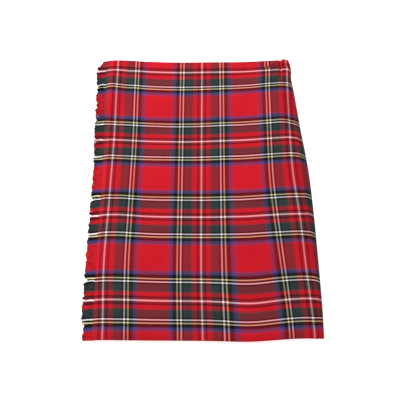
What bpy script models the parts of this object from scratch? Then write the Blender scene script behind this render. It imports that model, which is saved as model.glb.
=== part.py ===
"""A Scottish kilt laid flat, over apron up, waist towards +Y and hem towards -Y, in metres.

From the floor up it lies in three layers. The pleated back is lowest, its outer face down: knife
pleats that each take up one sett of the tartan. The under apron lies on it, turned up round the left
side. The over apron is on top, turned down round the right side into the first pleat. Each panel is
an open sheet, lofted through sections across the kilt, and given the cloth's thickness.
"""

import math

import bmesh
import bpy
import numpy as np

# Cloth
CLOTH = 0.0010
BAND_CLOTH = 0.0020
FRINGE_THICK = 0.0018
SEAM = 0.0003
LAYER = CLOTH + SEAM
SETT = 0.1696

# The whole, with the middle of its box at the origin
LENGTH = 0.6106
BAND = 0.0176
APRON_TOP = BAND + SEAM
CENTRE = 0.0006

# Knife pleats, counted from the left
REVEALS = 12
RAMP = 0.008
RAMP_GAP = 0.0004
LEAF_MARGIN = 0.003
BACK_HEM = 0.014
PLEAT_LEVELS = 7

# Under apron
UNDER_LEFT = -0.1780
UNDER_RIGHT = 0.1500
UNDER_ROLL = 0.006
UNDER_HEM = 0.012
UNDER_GAP = 0.0002
UNDER_LIFT = 0.0003
UNDER_LIFT_FROM = 0.040

# Waistband: how far it turns in under the rolls, and the height of each stretch's middle at its top
BAND_TURN = 0.006
OVER_BAND_TOP = 0.0112
UNDER_BAND_TOP = 0.0058
BAND_LEFT_TOP = -0.1970
BAND_LEFT_SEAM = -0.2035

# The band's back stretch: the soft bend at its top, then the way its upper side climbs onto the pleats
BACK_BAND_TOP = 0.0040
BACK_BEND_STEPS = 6
BACK_BEND_FROM = 0.0030
BACK_BEND_REACH = 0.0025
BACK_CLIMB_FROM = 0.0080
BACK_CLIMB = 0.0013

# Over apron: widths of its soft rises, and what hangs at its free edges
RISE_START = -0.020
LEFT_RISE_FROM = -0.100
LEFT_RISE_FULL = -0.165
EDGE_DROOP = 0.0025
EDGE_DROOP_WIDTH = 0.016
HEM_DROOP = 0.0025
HEM_DROOP_DEPTH = 0.0146
# Towards the hem the first pleat, which lies beneath, is drawn back out of sight
HEM_TUCK = 0.012
TUCK_FROM = 0.500
FRINGE_DROOP = 0.0022
FRINGE_SLOPE = 0.0005
FRINGE_TOP = APRON_TOP + SEAM

# Down from the top edge: the over apron's cut left edge, the reach of its fringe, its right edge,
# how far the cloth rises at its left and right, and its lowest height
OUTLINE_COLUMNS = ("down", "left", "fringe", "right", "left_rise", "right_rise", "height")
OUTLINE = (
    (0.0000, -0.1950, -0.2050, 0.1765, 0.0005, 0.0000, 0.0112),
    (APRON_TOP, -0.1945, -0.2095, 0.1798, 0.0010, 0.0010, 0.0124),
    (0.0400, -0.1942, -0.2103, 0.1796, 0.0020, 0.0045, 0.0116),
    (0.0724, -0.1930, -0.2090, 0.1832, 0.0030, 0.0075, 0.0113),
    (0.1679, -0.1895, -0.2075, 0.1926, 0.0030, 0.0085, 0.0113),
    (0.2585, -0.1880, -0.2040, 0.2022, 0.0030, 0.0080, 0.0113),
    (0.3596, -0.1868, -0.2045, 0.2074, 0.0028, 0.0060, 0.0113),
    (0.4749, -0.1862, -0.2055, 0.2104, 0.0022, 0.0035, 0.0113),
    (0.5677, -0.1855, -0.2045, 0.2117, 0.0015, 0.0020, 0.0113),
    (LENGTH, -0.1850, -0.2015, 0.2112, 0.0010, 0.0015, 0.0113),
)

# Where the last pleat leaves the right roll and lies on the floor
PLEAT_EDGE_COLUMNS = ("down", "right")
PLEAT_EDGE = (
    (0.0000, 0.1640),
    (APRON_TOP, 0.1679),
    (0.1679, 0.1779),
    (0.2585, 0.1884),
    (LENGTH, 0.1990),
)

# How far down each panel has a section
APRON_ROWS = (APRON_TOP, 0.040, 0.0724, 0.120, 0.1679, 0.213, 0.2585, 0.3596, 0.4749, 0.5677, 0.598, LENGTH)
UNDER_ROWS = (APRON_TOP, UNDER_LIFT_FROM, 0.1679, 0.2585, LENGTH - UNDER_HEM)
BACK_ROWS = (APRON_TOP, 0.1679, 0.2585, LENGTH - BACK_HEM)
BAND_ROWS = (0.0002, 0.006, 0.012, BAND)

APRON_COLUMNS = 22
ROLL_STEPS = 8
FOLD_STEPS = 4
UNDER_COLUMNS = 6
FRINGE_STEPS = 3

RED_CLOTH = (0.50, 0.03, 0.04, 1.0)
DARK_CLOTH = (0.26, 0.03, 0.04, 1.0)
THREAD = (0.42, 0.05, 0.06, 1.0)


def outline(column, down):
    """A column of the outline at a distance down from the top edge, on a smooth curve through its rows:
    between two rows a cubic, with each row's slope taken from the rows on both sides of it."""
    rows = np.array(OUTLINE)
    places = rows[:, 0]
    values = rows[:, OUTLINE_COLUMNS.index(column)]
    slopes = np.gradient(values, places)
    row = int(np.clip(np.searchsorted(places, down) - 1, 0, len(places) - 2))
    step = places[row + 1] - places[row]
    t = min(max((down - places[row]) / step, 0.0), 1.0)
    start = (1 + 2 * t) * (1 - t) ** 2 * values[row] + t * (1 - t) ** 2 * step * slopes[row]
    end = t * t * (3 - 2 * t) * values[row + 1] - t * t * (1 - t) * step * slopes[row + 1]
    return float(start + end)


def roll_depth(down, thickness):
    """How far the middle of the cloth runs out past the last pleat's edge, round the right roll."""
    return outline("right", down) - thickness / 2 - across(down)[1]


def smooth(t):
    """0 up to t = 0, 1 from t = 1, and a soft S between."""
    t = np.clip(t, 0.0, 1.0)
    return t * t * (3.0 - 2.0 * t)


def across(down):
    """The floor points where the right and left rolls leave the floor, and one pleat's reveal."""
    rows = np.array(PLEAT_EDGE)
    right = float(np.interp(down, rows[:, 0], rows[:, PLEAT_EDGE_COLUMNS.index("right")]))
    left = UNDER_LEFT + UNDER_ROLL
    return left, right, (right - left) / REVEALS


def leaf_depth(index, reveal):
    """How far a pleat's leaf runs beneath its neighbours. Those at the left stop short of the roll."""
    return min((SETT - reveal) / 2, index * reveal - LEAF_MARGIN)


def level_height(level):
    """The middle of the cloth in one of the stacked layers, 0 on the floor."""
    return CLOTH / 2 + level * LAYER


def at_row(points, down):
    """The points of a section, each with its distance down from the top edge, as (x, down, z)."""
    return [(x, down, z) for x, z in points]


def leaf_line(index, down, under):
    """A pleat's face, or its return if under is 1, from its fold edge to its inner fold, as (x, z).
    It climbs two layers at each neighbour's fold edge, and the return lies one layer below the face."""
    left, _, reveal = across(down)
    edge = left + (index + 1) * reveal
    end = reveal + leaf_depth(index, reveal)
    points = [(edge, level_height(0))] if not under else [(edge - reveal, level_height(1))]
    step = 1
    while step * reveal < end:
        foot = edge - step * reveal + RAMP_GAP + RAMP
        top = edge - step * reveal + RAMP_GAP
        if not (under and step == 1):
            points.append((foot, level_height(2 * step - 2 - under)))
            points.append((top, level_height(2 * step - under)))
        step += 1
    points.append((edge - end, level_height(2 * step - 2 - under)))
    return points


def fold(x, low_level, side):
    """The points of a fold between two neighbouring layers, from lower to upper. It bulges to side."""
    middle = level_height(low_level + 0.5)
    turns = [math.pi * (step / FOLD_STEPS - 0.5) for step in range(1, FOLD_STEPS)]
    return [(x + side * LAYER / 2 * math.cos(a), middle + LAYER / 2 * math.sin(a)) for a in turns]


def apron_height(x, down):
    """The over apron's middle height: level, a rise to each side, a droop at the left edge and the hem."""
    _, right, _ = across(down)
    z = outline("height", down)
    z += outline("right_rise", down) * smooth((x - RISE_START) / (right - RISE_START))
    z += outline("left_rise", down) * smooth((LEFT_RISE_FROM - x) / (LEFT_RISE_FROM - LEFT_RISE_FULL))
    past = np.clip((outline("left", down) + EDGE_DROOP_WIDTH - x) / EDGE_DROOP_WIDTH, 0.0, None)
    z -= EDGE_DROOP * past**2
    return z - HEM_DROOP * np.clip((down - LENGTH + HEM_DROOP_DEPTH) / HEM_DROOP_DEPTH, 0.0, 1.0) ** 2


def roll(x, deep, top, bottom, side):
    """A soft side roll: half an ellipse from top to bottom, without its two ends, bulging to side."""
    turns = [math.pi * (0.5 - step / ROLL_STEPS) for step in range(1, ROLL_STEPS)]
    middle = (top + bottom) / 2
    return [(x + side * deep * math.cos(a), middle + (top - bottom) / 2 * math.sin(a)) for a in turns]


def over_apron_section(down):
    """From the cut left edge over the top, round the right roll, and along the floor as the first pleat."""
    _, right, _ = across(down)
    xs = np.linspace(outline("left", down), right, APRON_COLUMNS)
    top = [(x, apron_height(x, down)) for x in xs]
    side = roll(right, roll_depth(down, CLOTH), top[-1][1], level_height(0), 1)
    tuck = HEM_TUCK * smooth((down - TUCK_FROM) / (LENGTH - TUCK_FROM))
    rolled = [(x, down - tuck * step / len(side), z) for step, (x, z) in enumerate(side)]
    leaf = leaf_line(REVEALS - 1, down - tuck, 0)
    return at_row(top, down) + rolled + at_row(leaf, down - tuck)


def under_height(down):
    """The under apron's middle height: one layer above the pleats, and a little more at the waistband."""
    lift = UNDER_LIFT * smooth((UNDER_LIFT_FROM - down) / (UNDER_LIFT_FROM - APRON_TOP))
    return level_height(PLEAT_LEVELS) + UNDER_GAP + lift


def under_apron_section(down):
    """From the free right edge over to the left, round the left roll, along the floor and back in."""
    left, _, reveal = across(down)
    high = under_height(down)
    top = [(x, high) for x in np.linspace(UNDER_RIGHT, left, UNDER_COLUMNS)]
    side = roll(left, UNDER_ROLL, high, level_height(0), -1)
    floor = [(left, level_height(0)), (left + reveal, level_height(0))]
    turn = fold(left + reveal, 0, 1)
    return at_row(top + side + floor + turn + leaf_line(1, down, 1), down)


def pleated_back_section(down):
    """Every pleat between the aprons' own, from the right: return, fold edge, face, inner fold, and on."""
    left, _, reveal = across(down)
    points = []
    for index in range(REVEALS - 1, 1, -1):
        edge = left + index * reveal
        points += leaf_line(index, down, 1)[::-1]
        points += fold(edge, 0, 1)[::-1]
        points += leaf_line(index - 1, down, 0)
        if index > 2:
            inner = points[-1][0]
            levels = round((points[-1][1] - level_height(0)) / LAYER)
            points += fold(inner, levels - 1, -1)[::-1]
    return at_row(points, down)


def band_mix(down, at_top, at_seam):
    """A height that eases from the waistband's top edge to its seam."""
    return at_top + (at_seam - at_top) * down / BAND


def waistband_over_section(down):
    """The band's front stretch, from its slanted left end round the right roll to the floor."""
    _, right, _ = across(down)
    xs = np.linspace(band_mix(down, BAND_LEFT_TOP, BAND_LEFT_SEAM), right, APRON_COLUMNS)
    cut = outline("left", APRON_TOP)
    drop = band_mix(down, OVER_BAND_TOP - outline("height", APRON_TOP), 0.0)
    top = [(x, apron_height(max(x, cut), APRON_TOP) + drop) for x in xs]
    side = roll(right, roll_depth(down, BAND_CLOTH), top[-1][1], BAND_CLOTH / 2, 1)
    turned = [(right, BAND_CLOTH / 2), (right - BAND_TURN, BAND_CLOTH / 2)]
    return at_row(top + side + turned, down)


def waistband_under_section(down):
    """The band's stretch on the under apron, from its free right end round the left roll to the floor."""
    left, _, _ = across(BAND)
    high = band_mix(down, UNDER_BAND_TOP, under_height(APRON_TOP))
    top = [(x, high) for x in np.linspace(UNDER_RIGHT, left, UNDER_COLUMNS)]
    side = roll(left, UNDER_ROLL, high, BAND_CLOTH / 2, -1)
    turned = [(left, BAND_CLOTH / 2), (left + BAND_TURN, BAND_CLOTH / 2)]
    return at_row(top + side + turned, down)


def fringe_section(down):
    """The plain reach of the fringe, from the apron's cut edge out, hanging lower at its tips."""
    first = outline("left", down)
    last = outline("fringe", down)
    start = apron_height(first, down)
    points = []
    for step in range(FRINGE_STEPS + 1):
        t = step / FRINGE_STEPS
        hang = FRINGE_SLOPE * t + FRINGE_DROOP * t * t
        points.append((first - SEAM - (first - SEAM - last) * t, start - hang))
    return at_row(points, down)


def material(name, colour, roughness):
    made = bpy.data.materials.new(name)
    made.use_nodes = True
    shader = made.node_tree.nodes["Principled BSDF"]
    shader.inputs["Base Color"].default_value = colour
    shader.inputs["Roughness"].default_value = roughness
    shader.inputs["Metallic"].default_value = 0.0
    return made


def sheet(name, rows, section, thickness, finish, collection):
    """A panel: one section for each row, joined into an open grid, then given its thickness both ways."""
    lines = [[(x - CENTRE, LENGTH / 2 - down, z) for x, down, z in section(row)] for row in rows]
    mesh = bpy.data.meshes.new(name)
    built = bmesh.new()
    grid = [[built.verts.new(point) for point in line] for line in lines]
    for upper, lower in zip(grid, grid[1:]):
        for column in range(len(upper) - 1):
            built.faces.new((upper[column], lower[column], lower[column + 1], upper[column + 1]))
    built.to_mesh(mesh)
    built.free()
    panel = bpy.data.objects.new(name, mesh)
    collection.objects.link(panel)
    mesh.materials.append(finish)
    wall = panel.modifiers.new("Cloth", "SOLIDIFY")
    wall.thickness = thickness
    wall.offset = 0.0
    wall.use_even_offset = True
    return panel


def waistband_back(finish, collection):
    """The band's back stretch: a strip folded over the tops of the pleats, open towards the hem."""
    half = CLOTH / 2
    bend = (BACK_BAND_TOP - half) / 2
    turns = [math.pi * (step / BACK_BEND_STEPS - 0.5) for step in range(1, BACK_BEND_STEPS)]
    profile = [(BAND, half), (BACK_CLIMB_FROM, half), (BACK_BEND_FROM, half)]
    for turn in turns:
        bent = BACK_BEND_FROM - BACK_BEND_REACH * math.cos(turn)
        profile.append((bent, half + bend * (1 + math.sin(turn))))
    profile += [(BACK_BEND_FROM, BACK_BAND_TOP), (BACK_CLIMB_FROM, BACK_BAND_TOP + BACK_CLIMB)]
    profile += [(BAND, level_height(PLEAT_LEVELS - 1))]
    mesh = bpy.data.meshes.new("waistband_back")
    built = bmesh.new()
    sides = []
    for end, inset in ((0, BAND_TURN + SEAM), (1, -(BAND_TURN + 2 * SEAM))):
        line = [(across(down)[end] + inset - CENTRE, LENGTH / 2 - down, z) for down, z in profile]
        sides.append([built.verts.new(point) for point in line])
    for step in range(len(profile) - 1):
        built.faces.new((sides[0][step], sides[0][step + 1], sides[1][step + 1], sides[1][step]))
    built.to_mesh(mesh)
    built.free()
    band = bpy.data.objects.new("waistband_back", mesh)
    collection.objects.link(band)
    mesh.materials.append(finish)
    wall = band.modifiers.new("Cloth", "SOLIDIFY")
    wall.thickness = CLOTH
    wall.offset = 0.0
    wall.use_even_offset = True
    return band


def main():
    for old in list(bpy.data.objects):
        bpy.data.objects.remove(old)
    kilt = bpy.data.collections.new("scottish_kilt")
    bpy.context.scene.collection.children.link(kilt)
    face = material("tartan_face", RED_CLOTH, 0.85)
    hidden = material("tartan_back", DARK_CLOTH, 0.85)
    thread = material("loose_threads", THREAD, 0.9)
    fringe_rows = (FRINGE_TOP,) + APRON_ROWS[1:]
    sheet("over_apron", APRON_ROWS, over_apron_section, CLOTH, face, kilt)
    sheet("under_apron", UNDER_ROWS, under_apron_section, CLOTH, hidden, kilt)
    sheet("pleated_back", BACK_ROWS, pleated_back_section, CLOTH, hidden, kilt)
    sheet("apron_fringe", fringe_rows, fringe_section, FRINGE_THICK, thread, kilt)
    sheet("waistband_over", BAND_ROWS, waistband_over_section, BAND_CLOTH, face, kilt)
    sheet("waistband_under", BAND_ROWS, waistband_under_section, BAND_CLOTH, hidden, kilt)
    waistband_back(hidden, kilt)


main()
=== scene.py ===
"""A Scottish kilt in red tartan, laid flat: over apron up, waist towards +Y, hem towards -Y.

Each panel is a thin sheet on its own path across the kilt. Two lengths are followed all through:
down, from the waistband's top edge along the cloth, and across, from the middle white line.
"""

import math

import bpy
import numpy as np
from mathutils import Matrix, Vector

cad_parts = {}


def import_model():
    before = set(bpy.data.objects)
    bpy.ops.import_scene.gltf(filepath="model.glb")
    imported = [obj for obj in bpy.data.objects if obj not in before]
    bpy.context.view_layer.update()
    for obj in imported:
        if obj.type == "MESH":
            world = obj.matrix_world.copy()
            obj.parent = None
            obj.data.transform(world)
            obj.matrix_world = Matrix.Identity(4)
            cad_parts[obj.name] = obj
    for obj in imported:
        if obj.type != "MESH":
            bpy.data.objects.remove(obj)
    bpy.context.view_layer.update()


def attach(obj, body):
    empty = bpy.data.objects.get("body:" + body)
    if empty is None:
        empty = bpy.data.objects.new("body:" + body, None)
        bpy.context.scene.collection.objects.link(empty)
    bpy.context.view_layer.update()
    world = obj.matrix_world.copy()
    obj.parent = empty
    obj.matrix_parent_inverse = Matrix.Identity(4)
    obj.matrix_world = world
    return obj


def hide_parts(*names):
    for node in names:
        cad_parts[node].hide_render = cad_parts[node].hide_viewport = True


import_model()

MM = 0.001

# Cloth and how it is stacked
CLOTH = 1.0 * MM
BAND_CLOTH = 2.0 * MM
SEAM = 0.3 * MM
LAYER = CLOTH + SEAM
# The drawn walls, a little thinner than the cloth so that layers stay clear, and their rounded edges
WALL = 0.9 * MM
BAND_WALL = 1.8 * MM
APRON_EDGE = 0.25 * MM
HIDDEN_EDGE = 0.2 * MM
BAND_EDGE = 0.7 * MM
SETT = 169.6 * MM

# The whole
LENGTH = 610.6 * MM
BAND = 17.6 * MM
APRON_TOP = BAND + SEAM
CENTRE = 0.6 * MM
FIRST_WEFT_LINE = 27.1 * MM

# Knife pleats
REVEALS = 12
RAMP = 8.0 * MM
RAMP_GAP = 0.4 * MM
LEAF_MARGIN = 3.0 * MM
BACK_HEM = 14.0 * MM
PLEAT_LEVELS = 7

# Under apron
UNDER_LEFT = -178.0 * MM
UNDER_RIGHT = 150.0 * MM
UNDER_ROLL = 6.0 * MM
UNDER_HEM = 12.0 * MM
UNDER_GAP = 0.2 * MM
UNDER_LIFT = 0.3 * MM
UNDER_LIFT_FROM = 40.0 * MM

# Waistband
BAND_TURN = 6.0 * MM
UNDER_BAND_TOP = 5.8 * MM
BACK_BAND_TOP = 4.0 * MM
BAND_LEFT_TOP = -199.5 * MM
BAND_LEFT_SEAM = -206.0 * MM
BAND_FLARE = 4.5 * MM
BAND_FLARE_FROM = 0.5

# Over apron's rises and droops
RISE_START = -20.0 * MM
LEFT_RISE_FROM = -100.0 * MM
LEFT_RISE_FULL = -165.0 * MM
EDGE_DROOP = 2.5 * MM
EDGE_DROOP_WIDTH = 16.0 * MM
ROLL_FALL = 3.2 * MM
ROLL_FALL_WIDTH = 20.0 * MM
ROLL_BELLY = 0.36
ROLL_POWER = 2.6
ROLL_POWER_LOST = 1.35
SQUARE_DOWN_TO = 75.0 * MM
FULLER_FROM = 430.0 * MM
FULLER_AT = 520.0 * MM
FULLER_POWER = 0.45
FULLER_LIFT = 0.6
HEM_DROOP = 2.5 * MM
HEM_DROOP_DEPTH = 14.6 * MM
HEM_TUCK = 12.0 * MM
TUCK_FROM = 500.0 * MM
FRINGE_DROOP = 2.2 * MM
FRINGE_SLOPE = 0.5 * MM

# In millimetres: the over apron's cut left edge, the reach of its fringe and its right edge, how far
# the cloth rises at its left and right, and how high its level part lies
OUTLINE_COLUMNS = ("down", "left", "fringe", "right", "left_rise", "right_rise", "height")
OUTLINE = np.array([
    (0.0, -195.0, -205.0, 177.3, 0.5, 0.0, 11.2),
    (17.9, -194.5, -209.5, 180.6, 1.0, 1.0, 12.4),
    (40.0, -194.2, -210.3, 179.6, 2.0, 4.5, 11.6),
    (72.4, -193.0, -209.0, 183.2, 3.0, 7.5, 11.3),
    (167.9, -189.5, -207.5, 192.6, 3.0, 8.5, 11.3),
    (258.5, -188.0, -204.0, 202.2, 3.0, 8.0, 11.3),
    (359.6, -186.8, -204.5, 207.4, 2.8, 6.0, 11.3),
    (474.9, -186.2, -205.5, 210.4, 2.2, 3.5, 11.3),
    (567.7, -185.5, -204.5, 211.7, 1.5, 2.0, 11.3),
    (610.6, -185.0, -201.5, 211.2, 1.0, 1.5, 11.3),
]) * MM
# Where the last pleat leaves the right roll and lies on the floor, as (down, across)
PLEAT_EDGE = np.array([(0.0, 164.0), (17.9, 167.9), (167.9, 177.9), (258.5, 188.4), (610.6, 199.0)]) * MM

# Soft drifts of the laid cloth from a true grid, in millimetres: where each is strongest,
# as across and down, how far it spreads both ways, and how far it moves the threads there.
# Warp threads, to the right
WARP_DRIFTS = (
    (0, 640, 300, 110, 4),
    (-170, 460, 60, 90, -3),
    (-150, 190, 70, 80, 1.5),
    (140, 15, 60, 40, 2.5),
    (180, 370, 35, 90, 5),
)
# Below the hip the right side has been pulled outwards: how far, and where the pull starts and is full
RIGHT_PULL = 22.0 * MM
PULL_ACROSS = (20.0 * MM, 130.0 * MM)
PULL_DOWN = (250.0 * MM, 610.0 * MM)
# Weft threads, towards the hem
WEFT_DRIFTS = (
    (-165, 30, 45, 70, -3),
    (-50, 120, 60, 150, 2.5),
    (-150, 370, 50, 70, -3),
    (-150, 520, 60, 70, -1.5),
    (185, 45, 45, 50, -3),
    (206, 345, 15, 60, -5),
    (90, 540, 50, 70, 5),
    (0, 615, 300, 25, -1.5),
)
# The weft climbs towards the right side: how far, and where the climb starts and is full
RIGHT_CLIMB = 5.5 * MM
CLIMB_ACROSS = (60.0 * MM, 190.0 * MM)

# The sett, from its white pivot line to the middle of the red ground: where each stripe starts, over what
# width the nap carries it into the stripe before, both in millimetres, and its dye. It runs back again to
# the next white line, and is the same both ways
CHART = (
    (0.0, 0.0, "rose white"),
    (1.5, 0.3, "deep red"),
    (5.6, 1.0, "black"),
    (8.4, 3.0, "red"),
    (16.3, 5.4, "green"),
    (31.7, 1.4, "black"),
    (35.1, 0.2, "white"),
    (37.5, 0.2, "black"),
    (41.4, 0.2, "yellow"),
    (43.8, 0.2, "black"),
    (50.9, 3.4, "blue"),
    (58.1, 6.0, "red"),
)
DYES = {
    "red": "BB1522",
    "deep red": "7B1A24",
    "green": "283434",
    "blue": "443C72",
    "black": "0B090B",
    "yellow": "DDD09C",
    "white": "F4F2EE",
    "rose white": "FFE0E1",
}
HALF_SETT = SETT / 2
# Yarns are 0.55 mm apart, so a wale is 2.2 mm. It is drawn at twice that, to show
WALE = 4.4 * MM
# How much of the face is weft, and how far that swings from one wale to the next
WEFT_SHARE = 0.585
WALE_SWING = 0.03


def smooth(t):
    """0 up to t = 0, 1 from t = 1, and a soft S between: 3t^2 - 2t^3."""
    t = np.clip(t, 0.0, 1.0)
    return t * t * (3.0 - 2.0 * t)


def through(places, values, at):
    """A smooth curve through the values at their places: between two places a cubic, with each place's
    slope taken from the values on both sides of it. Past the ends it keeps the end's value."""
    places = np.asarray(places, float)
    values = np.asarray(values, float)
    slopes = np.gradient(values, places)
    at = np.clip(at, places[0], places[-1])
    row = np.clip(np.searchsorted(places, at) - 1, 0, len(places) - 2)
    step = places[row + 1] - places[row]
    t = (at - places[row]) / step
    start = (1 + 2 * t) * (1 - t) ** 2 * values[row] + t * (1 - t) ** 2 * step * slopes[row]
    return start + t * t * (3 - 2 * t) * values[row + 1] - t * t * (1 - t) * step * slopes[row + 1]


def outline(column, down):
    """One column of the outline's table, read smoothly between its rows."""
    return through(OUTLINE[:, 0], OUTLINE[:, OUTLINE_COLUMNS.index(column)], down)


def pleat_edge(down):
    """Where the last pleat leaves the right roll: straight lines between its places."""
    return np.interp(down, PLEAT_EDGE[:, 0], PLEAT_EDGE[:, 1])


def level_height(level):
    """The middle of the cloth in one of the stacked layers, 0 on the floor."""
    return CLOTH / 2 + level * LAYER


def fuller(down):
    """Towards the hem the right roll fills out again: 0 above, 1 below."""
    return smooth((down - FULLER_FROM) / (FULLER_AT - FULLER_FROM))


def apron_height(across, down):
    """The over apron's middle height: level, a rise to each side, a fall into the right roll, and a droop
    at the left edge and the hem."""
    right = pleat_edge(down)
    z = outline("height", down)
    z = z + outline("right_rise", down) * smooth((across - RISE_START) / (right - RISE_START))
    near = np.clip((across - right + ROLL_FALL_WIDTH) / ROLL_FALL_WIDTH, 0.0, None)
    z = z - ROLL_FALL * smooth(down / SQUARE_DOWN_TO) * (1 - FULLER_LIFT * fuller(down)) * near**2
    z = z + outline("left_rise", down) * smooth((LEFT_RISE_FROM - across) / (LEFT_RISE_FROM - LEFT_RISE_FULL))
    past = np.clip((outline("left", down) + EDGE_DROOP_WIDTH - across) / EDGE_DROOP_WIDTH, 0.0, None)
    z = z - EDGE_DROOP * past**2
    return z - HEM_DROOP * np.clip((down - LENGTH + HEM_DROOP_DEPTH) / HEM_DROOP_DEPTH, 0.0, 1.0) ** 2


def drift(bells, across, down):
    """The sum of soft bells: each its own move, less with the distance from its middle."""
    moved = 0.0
    for x, y, wide, deep, move in np.array(bells, float) * MM:
        moved = moved + move * np.exp(-(((across - x) / wide) ** 2) - ((down - y) / deep) ** 2)
    return moved


def rise(place, span):
    """0 where a span starts, 1 where it is full, and a soft S between."""
    return smooth((place - span[0]) / (span[1] - span[0]))


def warp_stray(across, down):
    """How far a warp thread lies to the right of its true place: the pull, and the warp's bells."""
    return RIGHT_PULL * rise(across, PULL_ACROSS) * rise(down, PULL_DOWN) + drift(WARP_DRIFTS, across, down)


def warp_thread(across, down):
    """The warp thread that lies at a place: the place less that thread's own stray, found in three rounds."""
    thread = across
    for _ in range(3):
        thread = across - warp_stray(thread, down)
    return thread


def weft_stray(across, down):
    """How far a weft thread lies towards the hem from its true place: its bells, less the climb."""
    return drift(WEFT_DRIFTS, across, down) - RIGHT_CLIMB * rise(across, CLIMB_ACROSS)


def world(across, down, z):
    """Points of the room from places across and down the kilt and heights off the floor."""
    across, down, z = np.broadcast_arrays(across, down, z)
    return np.stack([across - CENTRE, LENGTH / 2 - down, z], axis=-1)


def along(points):
    """The length run so far along each row of points, from its first column."""
    steps = np.linalg.norm(np.diff(points, axis=1), axis=2)
    return np.concatenate([np.zeros((len(points), 1)), np.cumsum(steps, axis=1)], axis=1)


def grid_faces(rows, columns, offset=0):
    """The four corners of each cell of a grid of points numbered row by row."""
    first = offset + (np.arange(rows - 1)[:, None] * columns + np.arange(columns - 1)).reshape(-1)
    return np.stack([first, first + columns, first + columns + 1, first + 1], axis=1)


def make(name, points, faces, threads, finish):
    """A piece from its points, its faces and each point's place in the cloth, (along weft, along warp)."""
    mesh = bpy.data.meshes.new(name)
    mesh.from_pydata(points.reshape(-1, 3).tolist(), [], faces.tolist())
    corners = np.empty(len(mesh.loops), np.int32)
    mesh.loops.foreach_get("vertex_index", corners)
    cloth_map = mesh.uv_layers.new(name="cloth")
    cloth_map.data.foreach_set("uv", threads.reshape(-1, 2)[corners].astype(np.float32).reshape(-1))
    mesh.polygons.foreach_set("use_smooth", np.ones(len(mesh.polygons), bool))
    mesh.update()
    mesh.validate()
    mesh.materials.append(finish)
    piece = bpy.data.objects.new(name, mesh)
    bpy.context.scene.collection.objects.link(piece)
    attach(piece, "root")
    return piece


def sheet(name, points, threads, finish, wall, round_edge):
    """A panel: a grid of points made a shell as thick as its cloth, with its edges softly rounded."""
    piece = make(name, points, grid_faces(*points.shape[:2]), threads, finish)
    shell = piece.modifiers.new("Cloth", "SOLIDIFY")
    shell.thickness = wall
    shell.offset = 0.0
    shell.use_even_offset = True
    edge = piece.modifiers.new("Edge", "BEVEL")
    edge.width = round_edge
    edge.segments = 2
    edge.limit_method = "ANGLE"
    edge.angle_limit = math.radians(60)
    return piece


# ---------------------------------------------------------------- finishes

def linear(hex_colour):
    """An sRGB hex colour as linear light, with full alpha."""
    part = np.array([int(hex_colour[i:i + 2], 16) for i in (0, 2, 4)]) / 255
    light = np.where(part <= 0.04045, part / 12.92, ((part + 0.055) / 1.055) ** 2.4)
    return (*map(float, light), 1.0)


def add(tree, kind, inputs=(), **settings):
    """Adds a node with its settings. inputs gives each socket a number, a colour, an output, or a node
    whose first output it takes."""
    node = tree.nodes.new(kind)
    for key, value in settings.items():
        setattr(node, key, value)
    for socket, value in dict(inputs).items():
        source = value.outputs[0] if isinstance(value, bpy.types.Node) else value
        if isinstance(source, bpy.types.NodeSocket):
            tree.links.new(source, node.inputs[socket])
        else:
            node.inputs[socket].default_value = source
    return node


def stripes(tree, place):
    """The dye at a place in the cloth, in metres from a white pivot line: folded back at each pivot, and
    run softly from each stripe into the next."""
    folded = add(tree, "ShaderNodeMath", {0: place, 1: HALF_SETT}, operation="PINGPONG")
    share = add(tree, "ShaderNodeMath", {0: folded, 1: HALF_SETT}, operation="DIVIDE")
    ramp = add(tree, "ShaderNodeValToRGB", {0: share})
    stops = ramp.color_ramp.elements
    stops.remove(stops[1])
    stops[0].color = linear(DYES[CHART[0][2]])
    for (_, _, before), (start, blend, dye) in zip(CHART, CHART[1:]):
        stops.new((start - blend / 2) * MM / HALF_SETT).color = linear(DYES[before])
        stops.new((start + blend / 2) * MM / HALF_SETT).color = linear(DYES[dye])
    return ramp


def blank(name, roughness, sheen, sheen_roughness):
    """A wool finish before its colour: next to no gloss, and a warm white bloom at grazing angles."""
    material = bpy.data.materials.new(name)
    material.use_nodes = True
    tree = material.node_tree
    shader = tree.nodes["Principled BSDF"]
    shader.inputs["Roughness"].default_value = roughness
    shader.inputs["Sheen Weight"].default_value = sheen
    shader.inputs["Sheen Roughness"].default_value = sheen_roughness
    shader.inputs["Sheen Tint"].default_value = linear("FFF4EC")
    shader.inputs["IOR"].default_value = 1.5
    shader.inputs["Specular IOR Level"].default_value = 0.06
    return material, tree, shader


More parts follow.
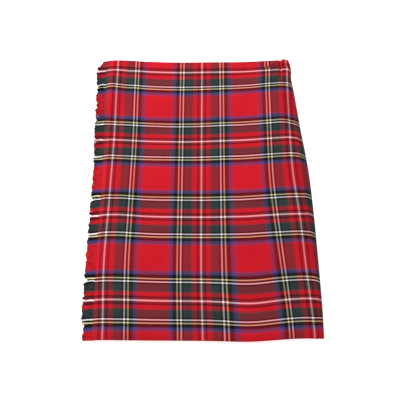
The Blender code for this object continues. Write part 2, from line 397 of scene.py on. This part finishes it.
def worsted_twill(name):
    """Worsted wool kilt cloth, of yarns dyed before weaving, in a 2/2 twill. Where yarns of two dyes
    cross, both show in fine diagonal wales. They are mixed on a gamma scale, which comes out a shade
    darker than their light would mix: painted shade that the crossing threads cast on each other. It is
    matt, with a faint soft bloom from its surface fibres."""
    material, tree, shader = blank(name, 0.9, 0.025, 0.5)
    cloth_map = add(tree, "ShaderNodeUVMap", uv_map="cloth")
    u, v = add(tree, "ShaderNodeSeparateXYZ", {0: cloth_map}).outputs[:2]
    diagonal = add(tree, "ShaderNodeMath", {0: u, 1: v}, operation="ADD")
    slant = add(tree, "ShaderNodeMath", {0: diagonal, 1: 2 * math.pi / WALE}, operation="MULTIPLY")
    wale = add(tree, "ShaderNodeMath", {0: slant}, operation="SINE")
    share = add(tree, "ShaderNodeMath", {0: wale, 1: WALE_SWING, 2: WEFT_SHARE}, operation="MULTIPLY_ADD")
    # Painted shade: each dye is put on a 1/2.2 gamma before the mix and turned back after it, which darkens
    # every crossing as if its threads shaded each other
    warp, weft = [add(tree, "ShaderNodeGamma", {0: stripes(tree, axis), 1: 1 / 2.2}) for axis in (u, v)]
    mixed = add(tree, "ShaderNodeMix", {0: share, 6: warp, 7: weft}, data_type="RGBA")
    woven = add(tree, "ShaderNodeGamma", {0: mixed.outputs[2], 1: 2.2})
    # Slubs: each yarn is a little lighter or darker for a few centimetres of its length
    slubs = []
    for scale in ((30.0, 900.0, 1.0), (900.0, 30.0, 1.0)):
        stretched = add(tree, "ShaderNodeMapping", {0: cloth_map, "Scale": scale})
        slubs.append(add(tree, "ShaderNodeTexNoise", {"Vector": stretched, "Scale": 1.0, "Detail": 2.0}))
    tone = add(tree, "ShaderNodeMath", dict(enumerate(slubs)), operation="ADD")
    yarn = add(tree, "ShaderNodeMapRange", {0: tone, 1: 0.6, 2: 1.4, 3: 0.93, 4: 1.07})
    # Handling has raised and pressed the nap in soft patches some centimetres wide
    patch = add(tree, "ShaderNodeTexNoise", {"Vector": cloth_map, "Scale": 16.0, "Detail": 3.0})
    nap = add(tree, "ShaderNodeMapRange", {0: patch, 1: 0.3, 2: 0.7, 3: 0.94, 4: 1.06})
    lightness = add(tree, "ShaderNodeMath", {0: yarn, 1: nap}, operation="MULTIPLY")
    toned = add(tree, "ShaderNodeVectorMath", {0: woven, "Scale": lightness}, operation="SCALE")
    tree.links.new(toned.outputs[0], shader.inputs["Base Color"])
    relief = add(tree, "ShaderNodeMath", {0: wale, 1: 0.5, 2: tone}, operation="MULTIPLY_ADD")
    bump = add(tree, "ShaderNodeBump", {"Strength": 0.2, "Distance": 0.15 * MM, "Height": relief})
    tree.links.new(bump.outputs[0], shader.inputs["Normal"])
    return material


def loose_wool(name):
    """Loose worsted yarn drawn out of the cloth: each thread keeps its own stripe's dye, a little
    fluffy, so it scatters more light at its edges than the woven cloth. Its colour also carries painted
    shade: dark streaks between the matted strands, and a darker part near the waist."""
    material, tree, shader = blank(name, 0.95, 0.06, 0.6)
    cloth_map = add(tree, "ShaderNodeUVMap", uv_map="cloth")
    down = add(tree, "ShaderNodeSeparateXYZ", {0: cloth_map}).outputs[1]
    # Painted shade between the matted strands, together with each strand's own tone: streaks along the
    # threads from dark to light
    strand = add(tree, "ShaderNodeMapping", {0: cloth_map, "Scale": (90.0, 500.0, 1.0)})
    strand_tone_and_shade = add(tree, "ShaderNodeTexNoise", {"Vector": strand, "Scale": 1.0, "Detail": 3.0})
    lightness = add(tree, "ShaderNodeMapRange", {0: strand_tone_and_shade, 1: 0.32, 2: 0.68, 3: 0.5, 4: 1.22})
    # Painted shade and light: the threads are darker near the waist and lighter towards the hem
    fringe_profile = add(tree, "ShaderNodeMapRange", {0: down, 1: 0.12, 2: 0.3, 3: 0.9, 4: 1.16})
    shade = add(tree, "ShaderNodeMath", {0: lightness, 1: fringe_profile}, operation="MULTIPLY")
    toned = add(tree, "ShaderNodeVectorMath", {0: stripes(tree, down), "Scale": shade}, operation="SCALE")
    tree.links.new(toned.outputs[0], shader.inputs["Base Color"])
    return material


face = worsted_twill("Worsted twill, over apron")
hidden = worsted_twill("Worsted twill, under layers")
loose = loose_wool("Loose worsted yarn")


# ---------------------------------------------------------------- over apron

TOP_COLUMNS = 170
ROLL_COLUMNS = 26
LEAF_COLUMNS = 22


def leaf_path(index, down, under, columns):
    """A pleat's face, or its return, from its fold edge in to its inner fold. It climbs two layers at
    each neighbour's fold edge in a soft S, and the return lies one layer below the face."""
    left = UNDER_LEFT + UNDER_ROLL
    reveal = (pleat_edge(down) - left) / REVEALS
    edge = left + (index + 1) * reveal
    end = reveal + np.minimum((SETT - reveal) / 2, index * reveal - LEAF_MARGIN)
    t = np.linspace(0.0, 1.0, columns)
    inward = (reveal if under else 0.0) + t * (end - (reveal if under else 0.0))
    level = np.full(np.broadcast_shapes(inward.shape, down.shape), -float(under))
    for step in range(1, REVEALS):
        climb = smooth((inward - step * reveal + RAMP_GAP + RAMP) / RAMP)
        level = level + 2.0 * climb * (step * reveal < end)
    return edge - inward, level_height(level)


def top_columns(left, right):
    """Places from side to side, four times as close together at the sides as on average."""
    t = np.linspace(0.0, 1.0, TOP_COLUMNS)
    return left + (right - left) * (t - 0.12 * np.sin(2 * math.pi * t))


def roll_turn(columns):
    """Angles from the crest of a side roll down to the floor, leaving out the crest itself."""
    return math.pi * (0.5 - np.linspace(0.0, 1.0, columns + 1)[1:])


def right_roll(start, deep, high, low, down):
    """The right roll from its crest. It bellies low: round beneath its widest place, and above it a
    superellipse, whose power makes it square at the waist and lets it fall away at once further down."""
    turn = roll_turn(ROLL_COLUMNS)
    square = ROLL_POWER - ROLL_POWER_LOST * smooth(down / SQUARE_DOWN_TO) + FULLER_POWER * fuller(down)
    power = np.where(turn > 0, 2 / square, 1.0)
    out = np.clip(np.cos(turn), 0.0, None) ** power
    widest = low + ROLL_BELLY * (high - low)
    lift = np.where(turn > 0, high - widest, low - widest) * np.abs(np.sin(turn)) ** power
    return start + deep * out, widest + lift


# Soft ridges and troughs in the over apron and its band, in millimetres: where each starts and ends,
# as across and down, its half width, and its height
CREASES = (
    (-180, 40, -182, 130, 12, 2.6),
    (-146, 30, -152, 130, 12, -1.6),
    (-172, 170, -176, 330, 9, 0.6),
    (-196, 112, -194, 182, 15, 3.6),
    (171, 104, 178, 172, 11, -3.2),
    (134, 17, 170, 15, 3.0, -2.6),
    (140, 9, 156, 6, 3.0, 1.0),
    (159, 2, 158, 50, 2.4, -3.0),
    (165, -2, 165, 10, 3.2, 2.6),
    (120, 40, 150, 150, 16, 0.8),
    (40, 120, 60, 380, 22, 0.6),
    (-60, 200, -40, 460, 24, 0.5),
    (100, 300, 130, 520, 20, 0.7),
    (-110, 420, -120, 590, 18, 0.5),
)


def creases(across, down):
    """Each is its height times a bell of the distance from its line, so it fades at its ends too."""
    height = np.zeros(np.broadcast_shapes(np.shape(across), np.shape(down)))
    for x0, y0, x1, y1, width, lift in np.array(CREASES, float) * MM:
        length = np.hypot(x1 - x0, y1 - y0)
        along_x, along_y = (x1 - x0) / length, (y1 - y0) / length
        run = np.clip((across - x0) * along_x + (down - y0) * along_y, 0.0, length)
        away = np.hypot(across - x0 - run * along_x, down - y0 - run * along_y)
        height = height + lift * np.exp(-((away / width) ** 2))
    return height


def over_apron():
    """From the cut left edge over the top, round the right roll, and under as the first pleat. Towards
    the hem the roll leans back, and the pleat beneath with it, out of sight."""
    wrinkled = 60.0 * MM
    down = np.concatenate([
        np.linspace(APRON_TOP, wrinkled, 34, endpoint=False),
        np.linspace(wrinkled, LENGTH - HEM_DROOP_DEPTH, 150, endpoint=False),
        np.linspace(LENGTH - HEM_DROOP_DEPTH, LENGTH, 12),
    ])[:, None]
    right = pleat_edge(down)
    top_x = top_columns(outline("left", down), right)
    top_z = apron_height(top_x, down) + creases(top_x, down)
    deep = outline("right", down) - CLOTH / 2 - right
    roll_x, roll_z = right_roll(right, deep, top_z[:, -1:], level_height(0), down)
    tuck = HEM_TUCK * smooth((down - TUCK_FROM) / (LENGTH - TUCK_FROM))
    leaf_x, leaf_z = leaf_path(REVEALS - 1, down - tuck, 0, LEAF_COLUMNS + 1)
    leaf_x = np.minimum(leaf_x, right)
    x = np.concatenate([top_x, roll_x, leaf_x[:, 1:]], axis=1)
    z = np.concatenate([top_z, roll_z, leaf_z[:, 1:]], axis=1)
    outermost = np.maximum.accumulate(x, axis=1)
    beneath = np.concatenate([
        np.zeros(TOP_COLUMNS), np.linspace(0.0, 1.0, ROLL_COLUMNS), np.ones(LEAF_COLUMNS)
    ])
    stray = weft_stray(outermost, down) * (1 - smooth(beneath))
    points = world(x, down + stray - tuck * beneath, z)
    run = along(points)
    u = np.concatenate([
        warp_thread(top_x, down),
        warp_thread(right, down) + run[:, TOP_COLUMNS:] - run[:, [TOP_COLUMNS - 1]],
    ], axis=1)
    threads = np.stack([u, np.broadcast_to(down - FIRST_WEFT_LINE, u.shape)], axis=-1)
    return sheet("over_apron_cloth", points, threads, face, WALL, APRON_EDGE)


# ---------------------------------------------------------------- layers beneath

def under_height(down):
    """The under apron's middle height: one layer above the pleats, and a little more at the waistband."""
    lift = UNDER_LIFT * smooth((UNDER_LIFT_FROM - down) / (UNDER_LIFT_FROM - APRON_TOP))
    return level_height(PLEAT_LEVELS) + UNDER_GAP + lift


def fold_line(x, low_level, side, columns=5):
    """A soft fold between two neighbouring layers, from the lower to the upper: half a circle."""
    turn = math.pi * (np.linspace(0.0, 1.0, columns + 2)[1:-1] - 0.5)
    return x + side * LAYER / 2 * np.cos(turn), level_height(low_level + 0.5) + LAYER / 2 * np.sin(turn)


def joined(pieces, rows):
    """Stretches of a section, side by side in one grid of (across, height)."""
    xs = [np.broadcast_to(x, (rows, np.shape(x)[-1])) for x, _ in pieces]
    zs = [np.broadcast_to(z, (rows, np.shape(z)[-1])) for _, z in pieces]
    return np.concatenate(xs, axis=1), np.concatenate(zs, axis=1)


def laid_sheet(name, down, stretches, first_thread, direction):
    """A hidden panel from its section. Its warp lines are counted along the section from its start."""
    x, z = joined(stretches, len(down))
    points = world(x, down, z)
    u = first_thread + direction * along(points)
    threads = np.stack([u, np.broadcast_to(down - FIRST_WEFT_LINE, u.shape)], axis=-1)
    return sheet(name, points, threads, hidden, WALL, HIDDEN_EDGE)


def under_apron():
    """From the free right edge over to the left, round the left roll, along the floor and back in."""
    down = np.linspace(APRON_TOP, LENGTH - UNDER_HEM, 90)[:, None]
    left = UNDER_LEFT + UNDER_ROLL
    reveal = (pleat_edge(down) - left) / REVEALS
    high = under_height(down)
    top_x = np.linspace(UNDER_RIGHT, left, 90)[None, :]
    turn = roll_turn(14)
    middle, half = (high + level_height(0)) / 2, (high - level_height(0)) / 2
    leaf_x, leaf_z = leaf_path(1, down, 1, 12)
    stretches = [
        (top_x, np.broadcast_to(high, (len(down), 90))),
        (left - UNDER_ROLL * np.cos(turn), middle + half * np.sin(turn)),
        (left + reveal * np.linspace(0.1, 1.0, 10), np.full((1, 10), level_height(0))),
        fold_line(left + reveal, 0, 1),
        (leaf_x, leaf_z),
    ]
    return laid_sheet("under_apron_cloth", down, stretches, -UNDER_RIGHT, 1)


def pleated_back():
    """Every pleat between the aprons' own, from the right: return, fold edge, face, inner fold, and on."""
    down = np.linspace(APRON_TOP, LENGTH - BACK_HEM, 50)[:, None]
    left = UNDER_LEFT + UNDER_ROLL
    reveal = (pleat_edge(down) - left) / REVEALS
    stretches = []
    for index in range(REVEALS - 1, 1, -1):
        columns = 34 if index > 2 else 16
        x, z = leaf_path(index, down, 1, columns)
        stretches.append((x[:, ::-1], z[:, ::-1]))
        x, z = fold_line(left + index * reveal, 0, 1)
        stretches.append((x[:, ::-1], z[..., ::-1]))
        x, z = leaf_path(index - 1, down, 0, columns)
        stretches.append((x, z))
        if index > 2:
            inner = x[:, -1:]
            levels = int(round(float((z[0, -1] - level_height(0)) / LAYER)))
            fold_x, fold_z = fold_line(inner, levels - 1, -1)
            stretches.append((fold_x[:, ::-1], fold_z[::-1]))
    return laid_sheet("pleated_back_cloth", down, stretches, 0.0, -1)


# ---------------------------------------------------------------- waistband

BAND_ROWS = 14
BAND_WEFT = 66.0 * MM


def band_down():
    """The band's rows, from its top edge to its seam."""
    return np.linspace(SEAM, BAND, BAND_ROWS)[:, None]


def band_threads(u, down):
    """The band is cut from the plain red ground of the weft, its warp stripes set to the body's."""
    return np.stack([u, np.broadcast_to(BAND_WEFT + down, u.shape)], axis=-1)


def waistband_over():
    """The band's front stretch, from its slanted left end, which flares at its foot, round the right
    roll to the floor."""
    down = band_down()
    t = down / BAND
    right = pleat_edge(down)
    first = BAND_LEFT_TOP + (BAND_LEFT_SEAM - BAND_LEFT_TOP) * t
    first = first - BAND_FLARE * smooth((t - BAND_FLARE_FROM) / (1.0 - BAND_FLARE_FROM))
    x = top_columns(first, right)
    drop = (outline("height", 0.0) - outline("height", APRON_TOP)) * (1 - t)
    seam = np.full_like(x, APRON_TOP)
    z = apron_height(np.maximum(x, outline("left", APRON_TOP)), seam) + drop + creases(x, down)
    deep = outline("right", down) - BAND_CLOTH / 2 - right
    turned = np.linspace(0.0, 1.0, 5)[1:]
    x, z = joined([
        (x, z),
        right_roll(right, deep, z[:, -1:], BAND_CLOTH / 2, down),
        (right - BAND_TURN * turned, np.full((1, 4), BAND_CLOTH / 2)),
    ], BAND_ROWS)
    fade = np.concatenate([
        np.ones(TOP_COLUMNS), 1 - smooth(np.linspace(0.0, 1.0, ROLL_COLUMNS)), np.zeros(4)
    ])
    points = world(x, down + fade * weft_stray(np.maximum.accumulate(x, axis=1), down), z)
    run = along(points)
    flat = x[:, :TOP_COLUMNS]
    turned = run[:, TOP_COLUMNS:] - run[:, [TOP_COLUMNS - 1]] + flat[:, -1:]
    u = np.concatenate([flat, turned], axis=1)
    threads = band_threads(u, down)
    return sheet("waistband_over_cloth", points, threads, face, BAND_WALL, BAND_EDGE)


def waistband_under():
    """The band's stretch on the under apron, from its free right end round the left roll to the floor."""
    down = band_down()
    left = UNDER_LEFT + UNDER_ROLL
    high = UNDER_BAND_TOP + (under_height(np.array(APRON_TOP)) - UNDER_BAND_TOP) * down / BAND
    turn = roll_turn(14)
    middle, half = (high + BAND_CLOTH / 2) / 2, (high - BAND_CLOTH / 2) / 2
    turned = np.linspace(0.0, 1.0, 5)[1:]
    x, z = joined([
        (np.linspace(UNDER_RIGHT, left, 60)[None, :], np.broadcast_to(high, (BAND_ROWS, 60))),
        (left - UNDER_ROLL * np.cos(turn), middle + half * np.sin(turn)),
        (left + BAND_TURN * turned[None, :], np.full((1, 4), BAND_CLOTH / 2)),
    ], BAND_ROWS)
    points = world(x, down, z)
    threads = band_threads(along(points), down)
    return sheet("waistband_under_cloth", points, threads, hidden, BAND_WALL, BAND_EDGE)


def waistband_back():
    """The band's back stretch: a strip folded over the tops of the pleats, open towards the hem."""
    half = CLOTH / 2
    bend = (BACK_BAND_TOP - half) / 2
    turns = np.pi * (np.linspace(0.0, 1.0, 9)[1:-1] - 0.5)
    back = 3.0 * MM
    down = np.concatenate([[BAND, 8.0 * MM, back], back - 2.5 * MM * np.cos(turns), [back, 8.0 * MM, BAND]])
    z = np.concatenate([
        [half, half, half], half + bend * (1 + np.sin(turns)),
        [BACK_BAND_TOP, BACK_BAND_TOP + 1.3 * MM, level_height(PLEAT_LEVELS - 1)],
    ])
    left = UNDER_LEFT + UNDER_ROLL + BAND_TURN + SEAM
    right = pleat_edge(down) - BAND_TURN - 2 * SEAM
    x = left + (right[:, None] - left) * np.linspace(0.0, 1.0, 80)
    points = world(x, down[:, None], z[:, None])
    run = np.concatenate([[0.0], np.cumsum(np.hypot(np.diff(down), np.diff(z)))])[:, None]
    threads = band_threads(x, run)
    return sheet("waistband_back_cloth", points, threads, hidden, WALL, HIDDEN_EDGE)


# ---------------------------------------------------------------- fringe

FRINGE_THREADS = 3400
FRINGE_STEPS = 7
THREAD_RADIUS = 0.5 * MM
TUFT = 5.0 * MM
# Where the fringe is worn short, in millimetres: how far down, over what half width, and by how much.
# Below 0, it stands out further there
FRINGE_WEAR = np.array([
    (27, 12, -2.0), (65, 3, 3.0), (78, 3, 1.5), (109, 6, 2.5), (119, 3, 4.0), (149, 3, 3.5), (191, 3, 2.5),
    (231, 2, 1.5), (330, 3, 4.5), (364, 2, 4.5), (404, 3, 2.5), (455, 3, 1.5), (496, 4, 5.0), (526, 2, 2.0),
    (534, 2, 3.0), (582, 3, 3.5), (593, 7, 3.0),
]) * MM
# Where a bundle of the fringe is bent and comes back to its row, in millimetres: how far down, over what
# half width, and how far its middle is pushed towards the hem
FRINGE_BENDS = np.array([
    (63.5, 2.5, -2.5), (73, 2, -3.0), (146, 3, 2.5), (197, 3, -1.5), (236, 3, 2.0), (320, 3, -2.0),
    (404, 3, 2.0), (500, 4, -2.0),
]) * MM
# The top tuft's tips curl up under the band's flared foot: how far, and from which part of their length
TOP_CURL = 2.8 * MM
TOP_CURL_FROM = 0.25


def tubes(centres, radius, sides):
    """Closed tubes round many paths at once: a ring of sides round each point, and a cap at each end.
    A ring's two directions stand square to the path: one level, and one across both."""
    ahead = np.gradient(centres, axis=1)
    ahead /= np.linalg.norm(ahead, axis=2, keepdims=True)
    level = np.cross(ahead, (0.0, 0.0, 1.0))
    level /= np.maximum(np.linalg.norm(level, axis=2, keepdims=True), 1e-9)
    upright = np.cross(level, ahead)
    turn = 2 * np.pi * np.arange(sides) / sides
    ring = np.cos(turn)[:, None] * level[:, :, None] + np.sin(turn)[:, None] * upright[:, :, None]
    points = centres[:, :, None] + radius[..., None, None] * ring
    count, steps = centres.shape[:2]
    number = np.arange(count * steps * sides).reshape(count, steps, sides)
    a, b = number[:, :-1], number[:, 1:]
    sides_faces = np.stack([a, np.roll(a, -1, 2), np.roll(b, -1, 2), b], axis=-1).reshape(-1, 4)
    caps = np.concatenate([number[:, 0, ::-1], number[:, -1, :]])
    return points, sides_faces, caps


def apron_fringe():
    """Weft threads left standing where the warp was drawn out. They lie matted side by side, as when
    woven: each runs out from the cut edge, leans a little to its tuft's middle and hangs at its tip."""
    draw = np.random.default_rng(7)
    down = np.linspace(APRON_TOP + 0.5 * MM, LENGTH - 0.5 * MM, FRINGE_THREADS)
    tufts = np.cumsum(draw.uniform(0.4, 1.6, 160) * TUFT)
    tufts = tufts[tufts < LENGTH]
    tuft = np.argmin(np.abs(down[:, None] - tufts), axis=1)
    fringe_profile = sum(depth * np.exp(-(((down - place) / width) ** 2)) for place, width, depth in FRINGE_WEAR)
    reach = outline("left", down) - outline("fringe", down) - fringe_profile
    long = reach * draw.uniform(0.97, 1.1, len(tufts))[tuft] * draw.uniform(0.93, 1.03, FRINGE_THREADS)
    lean = draw.uniform(0.0, 0.16, len(tufts))[tuft] * (tufts[tuft] - down)
    t = np.linspace(0.0, 1.0, FRINGE_STEPS)
    start = 1.5 * MM
    x = outline("left", down)[:, None] + start - (long[:, None] + start) * t
    wave = draw.uniform(0.0, 2 * np.pi, (FRINGE_THREADS, 1))
    y = down[:, None] + weft_stray(x, down[:, None]) + lean[:, None] * t**1.5
    bend = sum(push * np.exp(-(((down - place) / width) ** 2)) for place, width, push in FRINGE_BENDS)
    y = y + 0.4 * MM * np.sin(wave + 5.0 * t) * t + bend[:, None] * np.sin(math.pi * t)
    top_tuft = np.exp(-(((down - APRON_TOP) / TUFT) ** 2))[:, None]
    y = y - TOP_CURL * top_tuft * smooth((t - TOP_CURL_FROM) / (1.0 - TOP_CURL_FROM))
    edge = outline("left", down)
    edge_z = (apron_height(edge, down) + creases(edge, down))[:, None]
    z = edge_z - FRINGE_DROOP * t**2 - FRINGE_SLOPE * t
    z = z + draw.normal(0.0, 0.4 * MM, (FRINGE_THREADS, 1)) * t + 0.3 * MM * np.sin(wave * 2 + 4.0 * t) * t
    centres = world(x, y, z)
    thin = THREAD_RADIUS * (1.0 - 0.35 * t**4) * draw.uniform(0.8, 1.15, (FRINGE_THREADS, 1))
    points, faces, caps = tubes(centres, thin, 4)
    v = np.broadcast_to((down - FIRST_WEFT_LINE)[:, None, None], points.shape[:3])
    u = np.broadcast_to((t * long[:, None])[:, :, None], points.shape[:3])
    threads = np.stack([u, v], axis=-1)
    every_face = np.concatenate([faces, caps])
    return make("apron_fringe_threads", points, every_face, threads, loose)


apron = over_apron()
under = under_apron()
back = pleated_back()
band_over = waistband_over()
band_under = waistband_under()
band_back = waistband_back()
fringe = apron_fringe()

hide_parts("over_apron")
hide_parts("under_apron")
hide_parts("pleated_back")
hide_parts("waistband_over")
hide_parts("waistband_under")
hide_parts("waistband_back")
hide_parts("apron_fringe")


# ---------------------------------------------------------------- floor, light and camera

# In metres, watts and, for the lens, millimetres. The light shines the other way from where its back faces
FLOOR_REACH = 6.0
FLOOR_GLOW = 0.7
SKY_STRENGTH = 0.5
LIGHT_PLACE = (-1.7, 1.35, 1.76)
LIGHT_BACK = (-1.2, 0.9, 1.76)
LIGHT_SIZE = 1.6
LIGHT_WATTS = 107.5
CAMERA_PLACE = (-0.0024 - CENTRE, -0.9599, 1.5258)
CAMERA_TILT = math.radians(31.72)
CAMERA_ROLL = math.radians(0.348)
FOCAL_LENGTH = 86.62


def floor():
    """A plain white light table, far wider than the kilt: lit from below, so shadows on it stay faint."""
    side = FLOOR_REACH
    corners = np.array([(-side, -side, 0.0), (side, -side, 0.0), (side, side, 0.0), (-side, side, 0.0)])
    mesh = bpy.data.meshes.new("floor")
    mesh.from_pydata(corners.tolist(), [], [(0, 1, 2, 3)])
    material = bpy.data.materials.new("Opal white acrylic, lit")
    material.use_nodes = True
    shader = material.node_tree.nodes["Principled BSDF"]
    shader.inputs["Base Color"].default_value = linear("FEFEFE")
    shader.inputs["Roughness"].default_value = 0.9
    shader.inputs["Specular IOR Level"].default_value = 0.0
    shader.inputs["Emission Color"].default_value = (1.0, 1.0, 1.0, 1.0)
    shader.inputs["Emission Strength"].default_value = FLOOR_GLOW
    mesh.materials.append(material)
    plane = bpy.data.objects.new("floor", mesh)
    bpy.context.scene.collection.objects.link(plane)


def surroundings():
    """An even white studio, and one broad soft light high beyond the kilt's top left corner."""
    studio = bpy.data.worlds.new("Studio")
    studio.use_nodes = True
    sky = studio.node_tree.nodes["Background"]
    sky.inputs["Color"].default_value = (1.0, 1.0, 1.0, 1.0)
    sky.inputs["Strength"].default_value = SKY_STRENGTH
    bpy.context.scene.world = studio
    light = bpy.data.lights.new("soft_light", "AREA")
    light.size = LIGHT_SIZE
    light.energy = LIGHT_WATTS
    stand = bpy.data.objects.new("soft_light", light)
    stand.location = LIGHT_PLACE
    stand.rotation_euler = Vector(LIGHT_BACK).to_track_quat("Z", "Y").to_euler()
    bpy.context.scene.collection.objects.link(stand)
    bpy.context.scene.view_settings.view_transform = "Standard"


def camera():
    """Above the kilt and in front of its hem, looking down at 58 degrees from the level."""
    lens = bpy.data.cameras.new("camera")
    lens.sensor_width = 36.0
    lens.lens = FOCAL_LENGTH
    lens.clip_end = 50.0
    stand = bpy.data.objects.new("camera", lens)
    stand.location = CAMERA_PLACE
    stand.rotation_mode = "XYZ"
    tilt, roll = CAMERA_TILT, CAMERA_ROLL
    turn = np.array([
        (math.cos(roll), -math.sin(roll), 0.0),
        (math.cos(tilt) * math.sin(roll), math.cos(tilt) * math.cos(roll), -math.sin(tilt)),
        (math.sin(tilt) * math.sin(roll), math.sin(tilt) * math.cos(roll), math.cos(tilt)),
    ])
    stand.rotation_euler = Matrix(turn.tolist()).to_euler("XYZ")
    bpy.context.scene.collection.objects.link(stand)
    bpy.context.scene.camera = stand


floor()
surroundings()
camera()
